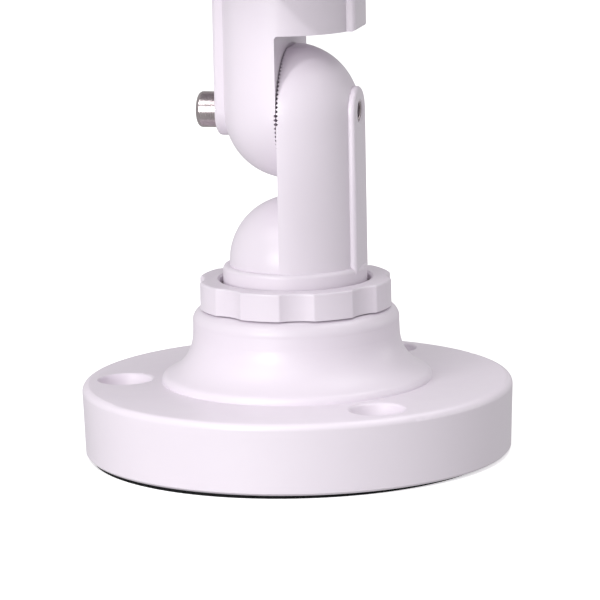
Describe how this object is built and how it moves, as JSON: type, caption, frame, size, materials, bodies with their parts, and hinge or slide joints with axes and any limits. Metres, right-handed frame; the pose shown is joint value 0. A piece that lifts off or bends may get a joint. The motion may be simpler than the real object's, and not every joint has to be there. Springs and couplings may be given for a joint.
{
  "type": "security camera",
  "caption": "Bullet security camera with a sunshield on a white three-axis bracket: round drilled base, bell pedestal, scalloped locking ring and serrated tilt joint.",
  "frame": {"origin": "centre of the base's underside, on the pan axis and on the surface that the base is fixed to", "axes": "+Z away from the mounting surface along the pan axis, +X along the tilt axis away from the tilt screw's head, -Y the way the camera looks at rest"},
  "size_m": [0.102, 0.238, 0.2131],
  "materials": {
    "white_casting": "fine satin powder coat on an aluminium die casting",
    "white_housing": "fine satin powder coat on aluminium",
    "black_foam": "closed-cell foam rubber",
    "black_rubber": "moulded seal rubber",
    "nylon": "turned nylon washer",
    "steel": "polished stainless steel",
    "window_glass": "clear toughened glass",
    "lens_glass": "coated optical glass",
    "emitter_lens": "clear epoxy over an emitter die",
    "black_anodised": "black anodised",
    "raw_aluminium": "bare bent sheet and extrusion",
    "brass": "turned brass",
    "circuit_board": "glass-epoxy board with solder mask",
    "black_plastic": "moulded plastic",
    "chip": "epoxy-moulded package",
    "thermal_grey": "soft heat-conducting pad",
    "red_plastic": "small moulded button"
  },
  "bodies": {
    "base": {"gasket_pad": "black_foam", "base_casting": "white_casting", "pan_friction_washer": "nylon"},
    "pan_clamp": {"pan_slip_washer": "steel"},
    "pan_ring": {"pan_lock_ring": "white_casting"},
    "lower_arm": {"lower_arm_casting": "white_casting"},
    "screw": {"tilt_screw": "steel"},
    "upper_arm": {"upper_arm_casting": "white_casting", "head_friction_washer": "nylon"},
    "head_clamp": {"head_slip_washer": "steel"},
    "head_ring": {"head_lock_ring": "white_casting"},
    "sunshield": {"sunshield": "white_housing"},
    "front_shield_screw": {"shield_screw_front": "steel"},
    "rear_shield_screw": {"shield_screw_rear": "steel"},
    "focus_ring": {"focus_ring": "black_plastic"},
    "focus_group": {"focus_group": "lens_glass"},
    "zoom_ring": {"zoom_ring": "black_plastic"},
    "zoom_group": {"zoom_group": "lens_glass"},
    "cut_filter": {"ir_cut_filter": "lens_glass"},
    "reset_button": {"reset_button": "red_plastic"},
    "camera": {"head_foot": "white_casting", "foot_screws": "steel", "saddle_gasket": "black_rubber", "housing_tube": "white_housing", "rear_cap": "white_housing", "rear_cap_oring": "black_rubber", "rear_cap_screws": "steel", "cable_gland": "black_plastic", "gland_nut": "black_plastic", "gland_seal": "black_rubber", "front_bezel": "white_housing", "bezel_oring": "black_rubber", "front_window": "window_glass", "window_gasket": "black_rubber", "led_board": "circuit_board", "ir_emitters": "emitter_lens", "light_sensor": "chip", "lens_shroud": "black_foam", "lens_barrel": "black_anodised", "front_lens": "lens_glass", "rear_lens": "lens_glass", "lens_mount": "black_plastic", "sensor_board": "circuit_board", "image_sensor": "chip", "chassis_sled": "raw_aluminium", "board_standoffs": "brass", "main_board": "circuit_board", "board_screws": "steel", "processor": "chip", "thermal_pad": "thermal_grey", "heat_sink": "black_anodised", "capacitors": "black_plastic", "hatch_gasket": "black_rubber", "hatch_cover": "white_housing", "hatch_screws": "steel", "service_board": "circuit_board", "board_spacers": "brass", "card_socket": "steel", "reset_switch": "black_plastic"}
  },
  "joints": [
    {"name": "pan_clamp_lift", "type": "slide", "parent": "base", "child": "pan_clamp", "axis": [0, 0, 1], "range_m": [0, 0.00075]},
    {"name": "pan_ring_turn", "type": "hinge", "parent": "pan_clamp", "child": "pan_ring", "pos_m": [0, 0, 0.0385], "axis": [0, 0, 1], "range_deg": [0, 180]},
    {"name": "pan", "type": "hinge", "parent": "base", "child": "lower_arm", "pos_m": [0, 0, 0.0385], "axis": [0, 0, 1], "range_deg": [-180, 180]},
    {"name": "tilt_screw_turn", "type": "hinge", "parent": "lower_arm", "child": "screw", "pos_m": [0, 0, 0.0815], "axis": [1, 0, 0], "range_deg": [0, 360]},
    {"name": "tilt", "type": "hinge", "parent": "lower_arm", "child": "upper_arm", "pos_m": [0, 0, 0.0815], "axis": [-1, 0, 0], "range_deg": [-45, 75]},
    {"name": "head_clamp_lift", "type": "slide", "parent": "upper_arm", "child": "head_clamp", "axis": [0, 0, 1], "range_m": [0, 0.00075]},
    {"name": "head_ring_turn", "type": "hinge", "parent": "head_clamp", "child": "head_ring", "pos_m": [0, 0, 0.115], "axis": [0, 0, 1], "range_deg": [0, 180]},
    {"name": "head_turn", "type": "hinge", "parent": "upper_arm", "child": "camera", "pos_m": [0, 0, 0.115], "axis": [0, 0, 1], "range_deg": [-90, 90]},
    {"name": "sunshield_slide", "type": "slide", "parent": "camera", "child": "sunshield", "axis": [0, -1, 0], "range_m": [-0.01, 0.01]},
    {"name": "front_shield_screw_turn", "type": "hinge", "parent": "camera", "child": "front_shield_screw", "pos_m": [0, -0.046, 0.205], "axis": [0, 0, 1], "range_deg": [0, 360]},
    {"name": "rear_shield_screw_turn", "type": "hinge", "parent": "camera", "child": "rear_shield_screw", "pos_m": [0, 0.024, 0.205], "axis": [0, 0, 1], "range_deg": [0, 360]},
    {"name": "focus_turn", "type": "hinge", "parent": "camera", "child": "focus_ring", "pos_m": [0, -0.0995, 0.1655], "axis": [0, -1, 0], "range_deg": [-60, 60]},
    {"name": "focus_travel", "type": "slide", "parent": "camera", "child": "focus_group", "axis": [0, -1, 0], "range_m": [-0.0012, 0.0012]},
    {"name": "zoom_turn", "type": "hinge", "parent": "camera", "child": "zoom_ring", "pos_m": [0, -0.0895, 0.1655], "axis": [0, -1, 0], "range_deg": [-45, 45]},
    {"name": "zoom_travel", "type": "slide", "parent": "camera", "child": "zoom_group", "axis": [0, -1, 0], "range_m": [-0.0025, 0.0025]},
    {"name": "cut_filter_slide", "type": "slide", "parent": "camera", "child": "cut_filter", "axis": [-1, 0, 0], "range_m": [0, 0.006]},
    {"name": "reset_press", "type": "slide", "parent": "camera", "child": "reset_button", "axis": [0, 0, 1], "range_m": [0, 0.0006], "stiffness_N_per_m": 800}
  ],
  "couplings": [
    {"joint": "pan_clamp_lift", "follows": "pan_ring_turn", "m_per_rad": 0.00023873},
    {"joint": "head_clamp_lift", "follows": "head_ring_turn", "m_per_rad": 0.00023873},
    {"joint": "focus_travel", "follows": "focus_turn", "m_per_rad": 0.001146},
    {"joint": "zoom_travel", "follows": "zoom_turn", "m_per_rad": 0.003183}
  ]
}
